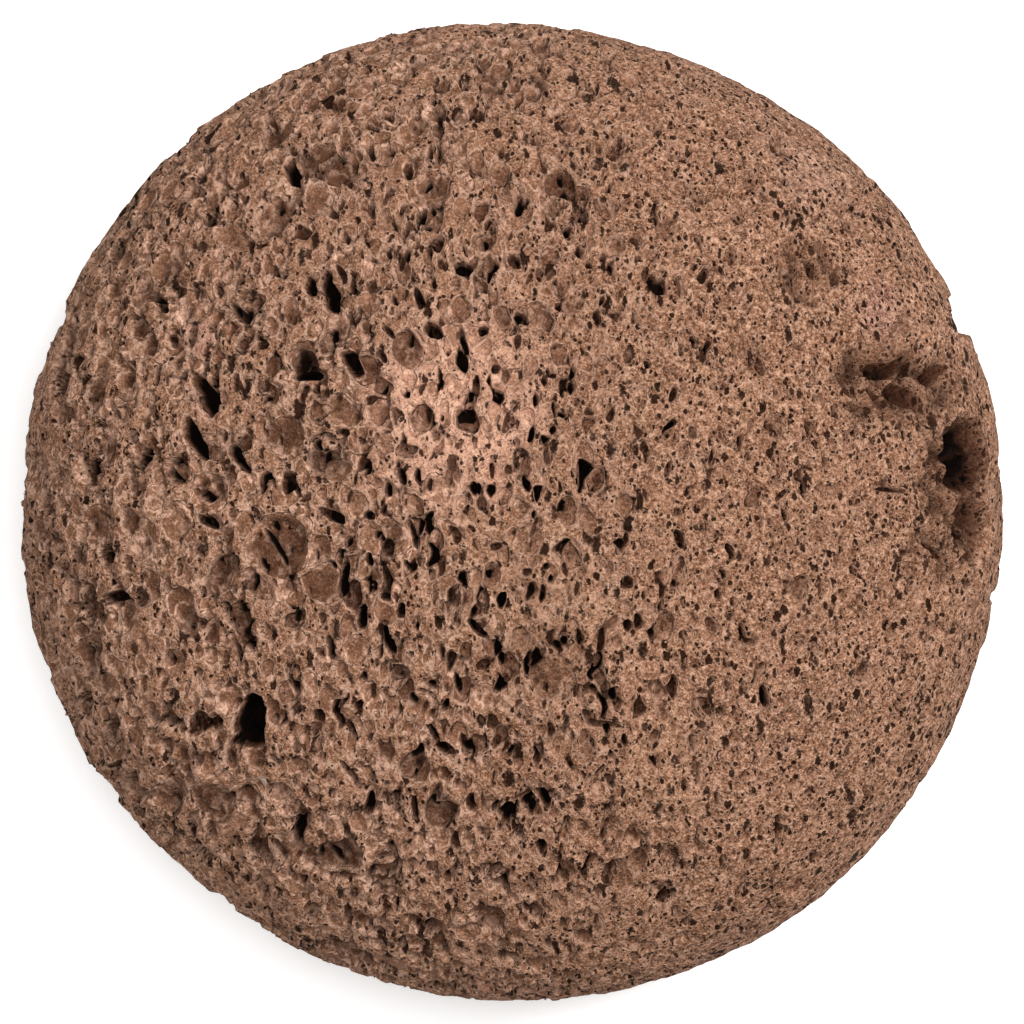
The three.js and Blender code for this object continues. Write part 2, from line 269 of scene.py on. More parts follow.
# Holes of the upper face, placed one by one: x, y, length, width in mm, the length's direction in
# degrees, depth in mm, and how steep the wall is (1 is a pot with upright walls, 0 a dish).
PLACED_HOLES = [
    # the deep holes and slots of the coarse half
    (-20.5, -17, 4.6, 2.4, 90, 4.2, 1.0),
    (-25, 5.5, 3.6, 1.5, 110, 3.0, 0.9),
    (-24, 9, 4.0, 1.4, 110, 2.8, 0.9),
    (-14, 17, 4.2, 1.5, 110, 3.0, 0.9),
    (-14, 13.5, 2.0, 0.8, 80, 1.8, 0.8),
    (-16, 10.5, 2.8, 0.9, 0, 2.6, 0.9),
    (-16, 11.5, 2.6, 2.0, 0, 1.3, 0.6),
    (-21.5, 4, 3.0, 0.8, 130, 2.2, 0.8),
    (-34, -16, 3.0, 1.4, 90, 2.0, 0.8),
    (-17, -26, 3.0, 1.0, 100, 2.4, 0.9),
    (-9.5, -10.5, 2.8, 1.0, 100, 2.4, 0.9),
    (-13, -5.5, 3.0, 0.9, 90, 2.0, 0.8),
    (-11.5, -8.5, 2.2, 0.9, 90, 2.0, 0.8),
    (-17.5, 27, 2.6, 1.2, 100, 2.0, 0.8),
    (-12.5, 11.5, 3.0, 1.4, 120, 1.8, 0.8),
    (-11, -23.5, 2.8, 0.9, 70, 2.0, 0.8),
    (-14, -11, 2.4, 0.8, 90, 1.8, 0.8),
    (-31.5, -7, 2.6, 1.0, 0, 1.6, 0.7),
    (-33.5, 3, 2.6, 1.5, 120, 1.4, 0.6),
    (-17, -14, 2.2, 0.8, 120, 1.8, 0.8),
    (-21.5, 15.5, 2.6, 0.8, 130, 1.6, 0.8),
    (-12.5, -21, 3.0, 0.6, 120, 1.8, 0.8),
    (-12.5, -26.5, 3.2, 0.6, 120, 1.6, 0.8),
    (-14, -0.5, 2.6, 1.0, 150, 1.5, 0.8),
    (-9.5, -5.5, 2.4, 0.8, 90, 1.6, 0.8),
    (-17, 2, 2.6, 0.6, 120, 1.6, 0.8),
    # the smaller ones between them
    (-27, -12, 1.3, 0.9, 80, 1.8, 0.9),
    (-24.5, -13, 0.8, 0.7, 0, 1.5, 0.9),
    (-20.5, -10.5, 1.3, 0.8, 80, 1.5, 0.8),
    (-21.5, -11.5, 2.0, 0.5, 110, 1.5, 0.8),
    (-15, -16.5, 1.5, 1.2, 100, 1.6, 0.8),
    (-27, 13.5, 1.3, 1.0, 100, 1.5, 0.8),
    (-22, 11.5, 1.6, 0.7, 110, 1.5, 0.8),
    (-19.5, 13, 1.5, 0.9, 20, 1.4, 0.8),
    (-18, 18.5, 1.0, 0.8, 0, 1.4, 0.8),
    (-24, 23, 1.6, 1.2, 150, 1.4, 0.6),
    (-16.5, 22, 1.4, 1.2, 60, 1.3, 0.6),
    (-14, 23.5, 1.1, 0.8, 150, 1.4, 0.8),
    (-24, 1, 2.0, 1.3, 140, 1.6, 0.7),
    (-24, -1, 2.0, 0.9, 140, 1.6, 0.8),
    (-28.5, 17, 1.1, 0.8, 20, 1.5, 0.8),
    (-29.5, 15.5, 1.3, 0.7, 90, 1.4, 0.8),
    (-36, -5, 1.9, 0.8, 130, 1.2, 0.7),
    (-38, -1.5, 1.8, 0.8, 100, 1.0, 0.7),
    (-36, -3, 1.4, 0.8, 110, 1.2, 0.7),
    (-38, 4, 1.4, 1.0, 100, 1.0, 0.7),
    (-32, -21, 1.8, 0.9, 0, 1.4, 0.7),
    (-26.5, -21.5, 1.0, 0.7, 130, 1.5, 0.8),
    (-20, -23, 1.1, 0.7, 130, 1.6, 0.8),
    (-18.5, -20, 1.5, 0.7, 130, 1.5, 0.8),
    (-25.5, -26, 1.3, 0.9, 120, 1.8, 0.9),
    (-19.5, -31, 1.3, 0.7, 140, 1.5, 0.8),
    (-19.5, -32.5, 1.6, 0.9, 170, 1.6, 0.8),
    (-13, -32.5, 1.8, 0.6, 90, 1.5, 0.8),
    (-7, -33.5, 1.4, 1.0, 120, 1.5, 0.8),
    (-8.5, -35, 1.5, 0.7, 110, 1.4, 0.8),
    (-14, -28, 2.2, 0.6, 120, 1.5, 0.8),
    (-11, -0.5, 1.0, 0.8, 0, 1.5, 0.9),
    (-9.5, -3, 1.6, 1.0, 100, 1.5, 0.8),
    (-11, -4, 1.2, 0.8, 90, 1.4, 0.8),
    (-8, -4.5, 1.2, 0.7, 90, 1.5, 0.8),
    (-7.5, -2, 3.0, 0.5, 110, 1.4, 0.8),
    (-8.5, -8, 1.4, 0.8, 100, 1.5, 0.8),
    # the middle
    (-4.5, -7, 1.6, 0.8, 90, 1.3, 0.7),
    (-5.5, -9, 1.6, 0.7, 100, 1.4, 0.8),
    (-2.5, -9.5, 2.7, 0.8, 130, 1.6, 0.8),
    (-1, -3, 1.2, 0.9, 0, 1.4, 0.8),
    (-4, -14, 2.2, 0.6, 100, 1.6, 0.8),
    (-8.5, -13, 1.8, 1.3, 30, 1.2, 0.5),
    (-7.5, -15, 1.1, 0.7, 110, 1.4, 0.8),
    (-5, -15.5, 1.1, 0.7, 60, 1.4, 0.8),
    (-12.5, -17.5, 2.4, 0.6, 120, 1.4, 0.8),
    (-3.5, -18.5, 2.0, 0.9, 100, 1.5, 0.8),
    (-5, -19, 1.6, 1.2, 130, 1.3, 0.6),
    (-1, -18.5, 1.3, 0.7, 60, 1.3, 0.8),
    (-7.5, -19.5, 1.3, 0.8, 40, 1.4, 0.8),
    (-7.5, -24, 2.2, 0.7, 100, 1.6, 0.8),
    (-6, -23.5, 1.0, 0.8, 0, 1.3, 0.8),
    (-3, -23.5, 1.5, 1.0, 110, 1.4, 0.7),
    (-1, -28.5, 1.3, 0.8, 50, 1.4, 0.8),
    (-9, -27.5, 2.0, 0.5, 110, 1.4, 0.8),
    (-9.5, 1.5, 1.6, 0.9, 90, 1.4, 0.8),
    (-8, 4.5, 1.8, 1.3, 0, 1.0, 0.5),
    (-4.5, 3.5, 1.4, 0.8, 90, 1.2, 0.7),
    (-11, 3, 0.9, 0.7, 60, 1.3, 0.8),
    (-3, 8.5, 1.6, 1.4, 80, 0.9, 0.4),
    (-11, 8.5, 1.0, 0.9, 0, 1.3, 0.7),
    (-10, 12, 1.6, 0.6, 100, 1.4, 0.8),
    (-1, 11, 1.0, 0.8, 60, 1.4, 0.8),
    (-3.5, 13, 3.0, 0.5, 110, 1.4, 0.8),
    (-2, 14, 1.0, 0.9, 0, 1.3, 0.7),
    (-6, 14, 1.9, 1.1, 130, 1.7, 0.8),
    (-9.5, 14, 1.6, 0.6, 130, 1.4, 0.8),
    (-7, 16.5, 1.8, 0.8, 110, 1.4, 0.7),
    (-8.5, 19.5, 1.4, 0.7, 90, 1.5, 0.8),
    (-3.5, 19, 2.0, 1.2, 150, 1.8, 0.8),
    (-1.5, 19.5, 1.2, 1.0, 60, 1.2, 0.6),
    (-7, 23, 2.2, 0.8, 80, 1.5, 0.8),
    (-5.5, 21, 1.6, 0.7, 80, 1.4, 0.8),
    (-8, 27, 1.4, 1.0, 100, 1.4, 0.8),
    (-11, 28.5, 2.1, 0.6, 110, 1.4, 0.8),
    (-5.5, 28.5, 2.0, 0.5, 100, 1.3, 0.8),
    (-11, 30.5, 1.5, 0.9, 160, 1.3, 0.6),
    (-2.5, 31.5, 1.5, 1.2, 100, 1.5, 0.8),
    (-3.5, 34, 1.0, 0.7, 130, 1.4, 0.8),
    (1, 15, 1.3, 1.1, 0, 1.5, 0.9),
    (0.5, 19.5, 1.3, 1.0, 150, 1.3, 0.7),
    (3.5, 22.5, 1.2, 0.7, 130, 1.3, 0.8),
    (8, 19, 1.3, 0.7, 100, 1.3, 0.8),
    (2.5, 34.5, 1.8, 0.6, 90, 1.2, 0.8),
    (0, 3, 1.0, 0.7, 90, 1.3, 0.8),
    (3, 4, 1.8, 0.5, 90, 1.2, 0.8),
    (5.5, 2.5, 3.0, 0.4, 90, 1.1, 0.8),
    (2, -1.5, 2.0, 0.5, 70, 1.2, 0.8),
    (1.5, -5, 1.0, 0.8, 0, 1.3, 0.8),
    (8, -9, 2.0, 0.7, 30, 1.0, 0.7),
    (1.5, -12, 1.8, 0.6, 80, 1.3, 0.8),
    (7, -12, 1.1, 0.7, 60, 1.1, 0.8),
    (4.5, -17, 1.6, 0.5, 70, 1.2, 0.8),
    (7.5, -17, 2.8, 0.8, 170, 1.2, 0.7),
    (0.5, -25.5, 1.6, 0.6, 110, 1.3, 0.8),
    (1.5, -32, 1.2, 1.0, 60, 1.4, 0.8),
    (7, -33, 1.8, 0.5, 90, 1.2, 0.8),
    (3.5, -35, 1.3, 0.7, 0, 1.2, 0.8),
    (0, -36, 2.0, 1.0, 160, 1.4, 0.7),
    # the fine half
    (13.5, 17.5, 2.2, 0.4, 100, 1.1, 0.8),
    (13, 28, 1.2, 0.8, 60, 1.1, 0.8),
    (8.5, 28.5, 1.5, 1.3, 0, 1.0, 0.5),
    (13, 9, 1.6, 0.7, 70, 1.3, 0.8),
    (14.5, 6, 1.2, 0.8, 100, 1.2, 0.8),
    (16, 4, 2.0, 0.5, 90, 1.2, 0.8),
    (12.5, 3, 1.6, 0.5, 70, 1.1, 0.8),
    (13.5, -2.5, 2.2, 0.9, 110, 1.4, 0.7),
    (13.5, -4.5, 3.2, 1.5, 90, 0.7, 0.2),
    (19.5, 1, 1.8, 1.4, 60, 0.9, 0.5),
    (22, -6, 1.1, 0.7, 80, 1.2, 0.8),
    (17.5, -8.5, 1.0, 0.7, 60, 1.1, 0.8),
    (19, -10.5, 1.0, 0.7, 0, 1.1, 0.8),
    (20, -12.5, 1.0, 0.7, 60, 1.1, 0.8),
    (11.5, -18, 1.4, 0.8, 60, 1.1, 0.7),
    (14.5, -18.5, 1.6, 0.5, 100, 1.2, 0.8),
    (15, -21, 2.4, 0.4, 80, 1.1, 0.8),
    (8, -21.5, 1.2, 0.7, 120, 1.2, 0.8),
    (16.5, -23, 1.7, 0.4, 100, 1.1, 0.8),
    (24, -22.5, 0.9, 0.7, 20, 1.2, 0.8),
    (15, -26, 2.6, 0.4, 80, 1.1, 0.8),
    (13.5, -28.5, 0.9, 0.8, 0, 1.2, 0.8),
    (12.5, -31, 2.1, 1.5, 40, 1.6, 0.8),
    (24, 19, 2.0, 1.1, 100, 1.4, 0.7),
    (22.5, 17.5, 2.0, 0.4, 110, 1.1, 0.8),
    (28, -8, 0.9, 0.7, 0, 1.0, 0.8),
    (30.5, 1.5, 3.2, 0.5, 170, 1.5, 0.9),
    (31.5, -3.5, 0.9, 0.7, 0, 1.2, 0.8),
    (32, -6, 1.2, 0.7, 70, 1.1, 0.7),
    (34, -3.5, 2.6, 0.8, 150, 1.3, 0.7),
    # the torn ledges and the deep squarish hollow near the +X edge
    (30, 11, 4.0, 1.6, 10, 1.7, 0.5),
    (29, 9, 2.2, 1.0, 130, 1.6, 0.8),
    (31.5, 9, 3.6, 2.2, 140, 1.5, 0.4),
    (34, 11, 3.0, 1.3, 20, 1.3, 0.5),
    (37, 4.5, 6.2, 4.0, 90, 1.7, 0.8),
    (36, 5.5, 2.4, 1.8, 80, 3.0, 0.9),
    (37, 3, 1.8, 1.3, 30, 2.8, 0.9),
    (37.5, -1, 6.8, 3.4, 80, 1.2, 0.6),
    (36.5, -2, 1.8, 1.3, 110, 2.2, 0.8),
    (37.5, -4, 1.8, 1.1, 70, 1.8, 0.7),
    # small bites out of the outline
    (-19.5, 35, 2.0, 1.2, 30, 0.8, 0.7),
    (-36.5, 15.5, 2.2, 1.4, 70, 1.0, 0.7),
    (-39.5, 3, 1.8, 1.2, 90, 0.8, 0.7),
    (-37.5, -13, 2.0, 1.4, 110, 1.0, 0.7),
    (-32.5, -23, 2.4, 1.4, 130, 1.1, 0.7),
    (-23.5, -32, 2.2, 1.4, 150, 1.0, 0.7),
    (-14, -36.5, 3.6, 1.4, 160, 1.1, 0.7),
    (39.5, -7, 1.6, 1.2, 90, 0.8, 0.7),
    # broad, shallow cut-open bubbles
    (-18, -3, 5.6, 5.0, 60, 1.2, 0.45),
    (-18.5, -3, 4.2, 0.5, 120, 2.4, 0.8),
    (-24.5, -17, 2.5, 2.3, 0, 1.4, 0.7),
    (-25.5, -9, 2.6, 2.0, 110, 1.0, 0.5),
    (-13, 7.5, 3.4, 2.6, 150, 0.8, 0.5),
    (-13, 6, 1.2, 0.8, 0, 1.4, 0.8),
    (-23, -23.5, 2.7, 2.5, 0, 0.8, 0.4),
    (-18, -23, 2.4, 1.6, 0, 0.7, 0.4),
    (-27.5, -23.5, 3.2, 2.2, 150, 0.8, 0.4),
    (-33, -1.5, 3.0, 2.5, 90, 0.8, 0.4),
    (-26.5, 3, 2.2, 2.1, 0, 0.7, 0.5),
    (-31, 11.5, 2.2, 1.6, 160, 0.7, 0.5),
    (-22, 21.5, 3.4, 2.2, 170, 0.7, 0.4),
    (-13.5, 3, 2.0, 1.7, 60, 0.8, 0.5),
    (-13, 29.5, 2.1, 1.6, 60, 0.7, 0.4),
    (-2, 21, 2.0, 1.8, 0, 0.6, 0.4),
    (2.5, 37, 2.0, 1.6, 0, 0.7, 0.4),
    (3, -13, 3.8, 3.2, 30, 0.7, 0.4),
    (9, -29, 2.8, 1.9, 100, 0.7, 0.4),
]


# Rough, torn patches of the upper face: x, y and radius in mm, and how rough.
ROUGH_PATCHES = [
    (30, 10, 4.2, 1.0),
    (34, 9.5, 3.2, 0.9),
    (37.5, 2.5, 5.8, 1.0),
    (24, 19, 2.8, 0.8),
    (34, -4, 2.8, 0.6),
    (3, -12, 3.6, 0.35),
]


# Chips knocked out of the flank, which show as nicks in the outline: azimuth and elevation in degrees,
# length and width in mm, the length's direction in degrees from level, depth in mm.
CHIPS = [
    (23, 0, 20.0, 5.2, 90, 1.8),
    (157, 3, 8.0, 2.6, 80, 0.5),
    (215, 0, 9.0, 3.2, 100, 0.6),
    (234, 0, 8.0, 2.8, 90, 0.5),
]

# Holes around the rim, the flanks and the underside: azimuth and elevation in degrees, length and
# width in mm, the length's direction in degrees from level, depth in mm.
FLANK_HOLES = [
    (188, 4, 3.4, 1.8, 20, 1.0),
    (214, -4, 3.0, 2.0, 70, 1.2),
    (246, 2, 2.8, 1.6, 120, 1.2),
    (283, -6, 3.2, 1.8, 40, 1.6),
    (318, -12, 2.8, 2.0, 100, 1.4),
    (352, -20, 3.6, 2.0, 60, 1.8),
    (52, -14, 3.0, 1.6, 80, 1.5),
    (84, -8, 3.4, 2.2, 30, 1.8),
    (112, -22, 2.6, 1.8, 110, 1.4),
    (140, -10, 3.8, 2.0, 65, 2.0),
    (168, -20, 3.0, 2.4, 0, 1.4),
    (196, -30, 4.0, 2.2, 95, 2.0),
    (232, -28, 3.4, 2.6, 30, 1.5),
    (264, -36, 3.0, 1.6, 75, 1.6),
    (300, -40, 3.6, 2.2, 120, 1.6),
    (335, -46, 2.8, 1.8, 20, 1.4),
    (12, -40, 3.2, 2.0, 85, 1.5),
    (66, -42, 3.8, 2.4, 50, 1.8),
    (128, -46, 3.2, 2.0, 100, 1.6),
]


def one_hole(along, beside, deep, steep):
    """Depth of one hole, and how far inside its mouth a point is, as a share of the half-width.

    Its outline is the rounded ellipse |along|^2.3 + |beside|^2.3 = 1. The depth is the full depth times
    a mix of an S-curved wall, for a pot, and a round bowl, for a dish."""
    away = (np.abs(along) ** 2.3 + np.abs(beside) ** 2.3) ** (1 / 2.3)
    bowl = np.sqrt(np.clip(1 - away * away, 0, 1))
    wall = 1 - smooth(0.62, 1.0, away)
    return deep * (steep * wall + (1 - steep) * bowl), 1 - away


def laid_along(right, up, length, width, turn):
    """Places across and up a hole, turned to its length and measured in its half-length and half-width:
    (right cos t + up sin t) / half-length, and (up cos t - right sin t) / half-width, for the turn t."""
    c, s = math.cos(math.radians(turn)), math.sin(math.radians(turn))
    return (right * c + up * s) / (length / 2), (up * c - right * s) / (width / 2)


def side_cut(p, push, azimuth, elevation, length, width, turn, deep, steep):
    """The points near one hole or chip of the flank, their depth in it, and how far they are inside its
    mouth.

    It is laid out on the plane that touches the stone there: a point's places on it are its offset
    from the middle, dotted with the level direction and with the upward one."""
    outward = directions_of(azimuth, elevation)
    middle = stone_radius(outward[None])[0] * outward
    level = directions_of(azimuth + 90, 0)
    upward = np.cross(outward, level)
    pick = np.flatnonzero(np.linalg.norm(p - middle, axis=1) < 0.75 * length + 0.4)
    apart = p[pick] + push[pick] - middle
    cut, inside = one_hole(*laid_along(apart @ level, apart @ upward, length, width, turn), deep, steep)
    return pick, cut, inside


def placed_holes(p):
    """Depth of the holes placed one by one, seen from above or from the side, and the mouths, in mm, of
    the deep ones and of the dished ones.

    Where holes overlap, the depth and the mouth are each the greatest of theirs. A mouth is the share
    of the half-width that a point lies inside the hole, times the half-width."""
    depth = np.zeros(len(p), np.float32)
    mouths = {"deep": np.full(len(p), -0.5, np.float32), "dish": np.full(len(p), -0.5, np.float32)}
    push = wobble(wobble(p, 0.9, 0.20, 3), 2.6, 0.55, 1) - p

    def open_hole(pick, cut, inside, width, deep):
        """Keeps the greater of the old depth and the cut, and of the old mouth and inside times width / 2."""
        depth[pick] = np.maximum(depth[pick], cut)
        mouth = mouths["deep" if deep >= 1.3 else "dish"]
        mouth[pick] = np.maximum(mouth[pick], inside * width / 2)

    for x, y, length, width, turn, deep, steep in PLACED_HOLES:
        reach = 0.75 * max(length, width) + 0.8
        close = (np.abs(p[:, 0] - x) < reach) & (np.abs(p[:, 1] - y) < reach)
        pick = np.flatnonzero(close & (p[:, 2] > UPPER_FADE[0]))
        if not len(pick):
            continue
        apart = p[pick, :2] - np.array([x, y], np.float32)
        bend = push[pick, :2] - push[pick[np.argmin((apart * apart).sum(1))], :2]
        apart = apart + bend * min(1.0, 0.35 + 0.4 * width)
        # at the outline a hole may only nibble, so that the edge keeps its line
        nibble = 0.25 + 3.75 * (1 - smooth(36.6, 39.3, np.hypot(p[pick, 0], p[pick, 1])))
        most = np.minimum(deep, nibble) * smooth(*UPPER_FADE, p[pick, 2])
        cut, inside = one_hole(*laid_along(apart[:, 0], apart[:, 1], length, width, turn), most, steep)
        open_hole(pick, cut, inside, width, deep)
    for azimuth, elevation, length, width, turn, deep in FLANK_HOLES:
        pick, cut, inside = side_cut(p, push, azimuth, elevation, length, width, turn, deep,
                                     FLANK_STEEPNESS)
        open_hole(pick, cut, inside, width, deep)
    return depth, mouths


def carve(skin, inward):
    """The stone's surface under the smooth skin, and what the material needs to know of each point.

    Every step moves the points further along the inward normals: the gentle roll of the worn skin, the
    torn patches, the chips, the placed holes, each family of bubbles in turn, and the grain. The roll is
    a sum of noises, each times its height. A torn patch adds creases, which are highest where two
    noises cross zero. A bubble's cut is a share of its depth, up to a limit."""
    p = skin.astype(np.float32)
    inward = inward.astype(np.float32)
    flat = skin[:, 2] <= -REST_DEPTH + 1e-3
    roll = 0.20 * (1 - noise(p, 5.0, 3)) + 0.16 * (1 - noise(p, 2.2, 4)) + 0.07 * (1 - noise(p, 1.1, 5))
    rough = np.zeros(len(p), np.float32)
    shaken = wobble(p, 2.0, 0.9, 2)
    for x, y, reach, amount in ROUGH_PATCHES:
        away = np.hypot(shaken[:, 0] - x, shaken[:, 1] - y) / reach
        rough = np.maximum(rough, amount * (1 - smooth(0.55, 1.15, away)))
    edge = smooth(37.2, 39.2, np.hypot(p[:, 0], p[:, 1]))
    rough = rough * smooth(*UPPER_FADE, p[:, 2]) * (1 - 0.85 * edge)
    crease = 1.25 - 1.5 * np.abs(noise(p, 2.1, 1)) - 0.9 * np.abs(noise(p, 1.0, 2))
    roll = roll + 1.1 * rough * np.maximum(crease, 0) - 0.42
    p = p + inward * np.where(flat, 0, roll).astype(np.float32)[:, None]

    chip = np.zeros(len(p), np.float32)
    push = wobble(p, 2.2, 0.9, 4) - p
    for row in CHIPS:
        pick, cut, _ = side_cut(p, push, *row, CHIP_STEEPNESS)
        chip[pick] = np.maximum(chip[pick], cut)
    p = p + inward * chip[:, None]

    depth, marks = placed_holes(p)
    p = p + inward * depth[:, None]
    hollow = depth.copy()
    floor = smooth(0.0, 0.15, marks["dish"])
    for name, cell, radius, share, squash, wall, keep, most, reach, floors, spare in BUBBLES:
        warped = wobble(p, 0.75 * cell, reach * cell, int(cell * 10))
        cut, mouth = open_bubbles(warped, inward, cell, radius, share, squash, wall, int(cell * 7),
                                  pot=name in ("slot", "cleft"))
        cut = np.minimum(cut * keep, most).astype(np.float32) * (1 - spare * floor)
        p = p + inward * cut[:, None]
        hollow += cut
        marks[name] = mouth * (1 - spare * floor) - 0.1 * spare * floor
        floor = np.maximum(floor, floors * smooth(0.04, 0.16, cut))
    grain = (0.05 * noise(p, 0.42, 4) + 0.05 * noise(p, 0.9, 5)) * (1 - 0.7 * floor)
    grain = np.where(flat, np.maximum(grain, 0), grain + 0.08)
    p = p + inward * grain.astype(np.float32)[:, None]
    p[:, 2] = np.maximum(p[:, 2], -REST_DEPTH + CLEARANCE)
    marks["hollow"] = hollow
    marks["rough"] = rough
    marks["crease"] = rough * smooth(0.35, 1.0, crease)
    return p, marks


def foot_on_skin(p):
    """The skin's point that each carved point hangs from: the foot of the skin's normal through it.

    From a first guess straight out from the centre, each step goes out from the point along the last
    foot's normal by its height under the skin, and then back on to the skin."""
    def on_skin(q):
        """The skin's point straight out through q: its unit vector times the radius there."""
        d = q / np.linalg.norm(q, axis=1)[:, None]
        return stone_radius(d)[:, None] * d

    def normal_at(q):
        """Unit slope of the height over the skin, from differences a small step ahead and behind."""
        slopes = []
        for axis in range(3):
            step = np.zeros(3)
            step[axis] = 0.02
            ahead, behind = q + step, q - step
            slopes.append(np.linalg.norm(ahead, axis=1) - np.linalg.norm(on_skin(ahead), axis=1)
                          - np.linalg.norm(behind, axis=1) + np.linalg.norm(on_skin(behind), axis=1))
        out = np.stack(slopes, -1)
        return out / np.linalg.norm(out, axis=1)[:, None]

    foot = on_skin(p)
    for _ in range(6):
        normal = normal_at(foot)
        height = np.einsum("ij,ij->i", foot - p, normal)
        foot = on_skin(p + normal * height[:, None])
    normal = normal_at(foot)
    flat = p[:, 2] < -REST_DEPTH + 2.0
    under = flat & (foot[:, 2] < -REST_DEPTH)
    foot[under] = np.stack([p[under, 0], p[under, 1], np.full(under.sum(), -REST_DEPTH)], -1)
    normal[under] = (0, 0, -1)
    return foot, normal


def vertex_normals(p, quads):
    """Each corner's normal: the sum of the crossed diagonals of the squares around it."""
    face = np.cross(p[quads[:, 2]] - p[quads[:, 0]], p[quads[:, 3]] - p[quads[:, 1]])
    out = np.stack([
        sum(np.bincount(quads[:, k], face[:, axis], len(p)) for k in range(4)) for axis in range(3)
    ], -1)
    return out / np.linalg.norm(out, axis=1)[:, None]


def unfold(mesh, foot):
    """Lays the skin out flat as two sheets, the upper half of the stone above the lower half.

    Each corner takes the place of its foot on the smooth skin. The angle from the pole becomes a radius
    on a disc, so that equal areas of the stone stay equal: its square is the share of the sheet's area
    that lies within that angle. The disc is pressed into a square by quarters: in each the larger
    coordinate is the radius, and the smaller one goes evenly with the turn. Each sheet runs four degrees
    past the widest level, so that the faces that cross it fit."""
    limit = math.radians(94)
    fall = np.arccos(np.clip(foot[:, 2] / np.linalg.norm(foot, axis=1), -1, 1))
    turn = np.arctan2(foot[:, 1], foot[:, 0])

    def sheet(angle, up):
        """Places in the square at that angle from the pole, up being 1 for the upper half and -1 below."""
        steps = np.linspace(0, limit, 400)
        d = np.stack([np.sin(steps), 0 * steps, up * np.cos(steps)], -1)
        ring = stone_radius(d)[:, None] * d
        ring[:, 2] = np.maximum(ring[:, 2], -REST_DEPTH)
        band = np.linalg.norm(np.diff(ring, axis=0), axis=1) * (ring[1:, 0] + ring[:-1, 0]) / 2
        area = np.concatenate([[0], np.cumsum(band)])
        radius = np.sqrt(np.interp(angle, steps, area) / area[-1])
        quarter = np.round(turn / (math.pi / 2))
        side = radius * (turn - quarter * (math.pi / 2)) / (math.pi / 4)
        c, s = np.cos(quarter * math.pi / 2), np.sin(quarter * math.pi / 2)
        return np.stack([radius * c - side * s, radius * s + side * c], -1)

    upper = sheet(fall, 1) * (0.494, 0.314) + (0.5, 0.68)
    lower = sheet(math.pi - fall, -1) * (0.494, 0.174) + (0.5, 0.18)
    corners = np.empty(len(mesh.loops), np.int32)
    mesh.loops.foreach_get("vertex_index", corners)
    starts = np.empty(len(mesh.polygons), np.int32)
    mesh.polygons.foreach_get("loop_start", starts)
    counts = np.empty(len(mesh.polygons), np.int32)
    mesh.polygons.foreach_get("loop_total", counts)
    level = np.add.reduceat(fall[corners], starts) / counts
    on_top = np.repeat(level < math.pi / 2, counts)
    spots = np.where(on_top[:, None], upper[corners], lower[corners])
    layer = mesh.uv_layers.new(name="OFBake")
    layer.data.foreach_set("uv", spots.astype(np.float32).ravel())


def build_skin():
    """The carved stone as one closed mesh, with its marks and its flat layout.

    Each grid point is its unit vector times the skin's radius there, cut off at the worn flat, and then
    carved along the inward normal. The mesh is thinned to its limit of faces. The marks are worked out
    again at the thinned points, each at the foot of its normal on the skin."""
    d, quads = ball_grid(GRID)
    skin = stone_radius(d)[:, None] * d
    skin[:, 2] = np.maximum(skin[:, 2], -REST_DEPTH)
    normal = vertex_normals(skin, quads)
    p, _ = carve(skin, -normal)
    say(f"carved {len(p)} points")
    middle = (p.max(0) + p.min(0)) / 2
    shift = np.array([-middle[0], -middle[1], REST_DEPTH])

    mesh = bpy.data.meshes.new("pumice_stone_grid")
    mesh.vertices.add(len(p))
    mesh.vertices.foreach_set("co", ((p + shift) * MM).astype(np.float32).ravel())
    mesh.loops.add(len(quads) * 4)
    mesh.loops.foreach_set("vertex_index", quads.astype(np.int32).ravel())
    mesh.polygons.add(len(quads))
    mesh.polygons.foreach_set("loop_start", np.arange(0, len(quads) * 4, 4, dtype=np.int32))
    mesh.polygons.foreach_set("loop_total", np.full(len(quads), 4, np.int32))
    mesh.update(calc_edges=True)
    stone = bpy.data.objects.new("pumice_stone_skin", mesh)
    bpy.context.scene.collection.objects.link(stone)
    thin = stone.modifiers.new("thin", "DECIMATE")
    thin.ratio = FACES / (2 * len(quads))
    graph = bpy.context.evaluated_depsgraph_get()
    thinned = bpy.data.meshes.new_from_object(stone.evaluated_get(graph))
    stone.modifiers.clear()
    stone.data = thinned
    bpy.data.meshes.remove(mesh)
    thinned.name = "pumice_stone_skin"
    thinned.shade_smooth()
    say(f"thinned to {len(thinned.polygons)} faces")

    place = np.empty(len(thinned.vertices) * 3, np.float32)
    thinned.vertices.foreach_get("co", place)
    place = place.reshape(-1, 3)
    place[:, 2] = np.maximum(place[:, 2], CLEARANCE * MM)
    thinned.vertices.foreach_set("co", place.ravel())
    foot, normal = foot_on_skin(place.astype(float) / MM - shift)
    _, marks = carve(foot, -normal)
    say("marked")
    for name, value in marks.items():
        layer = thinned.attributes.new(name, "FLOAT", "POINT")
        layer.data.foreach_set("value", value.astype(np.float32))
    unfold(thinned, foot)
    return stone


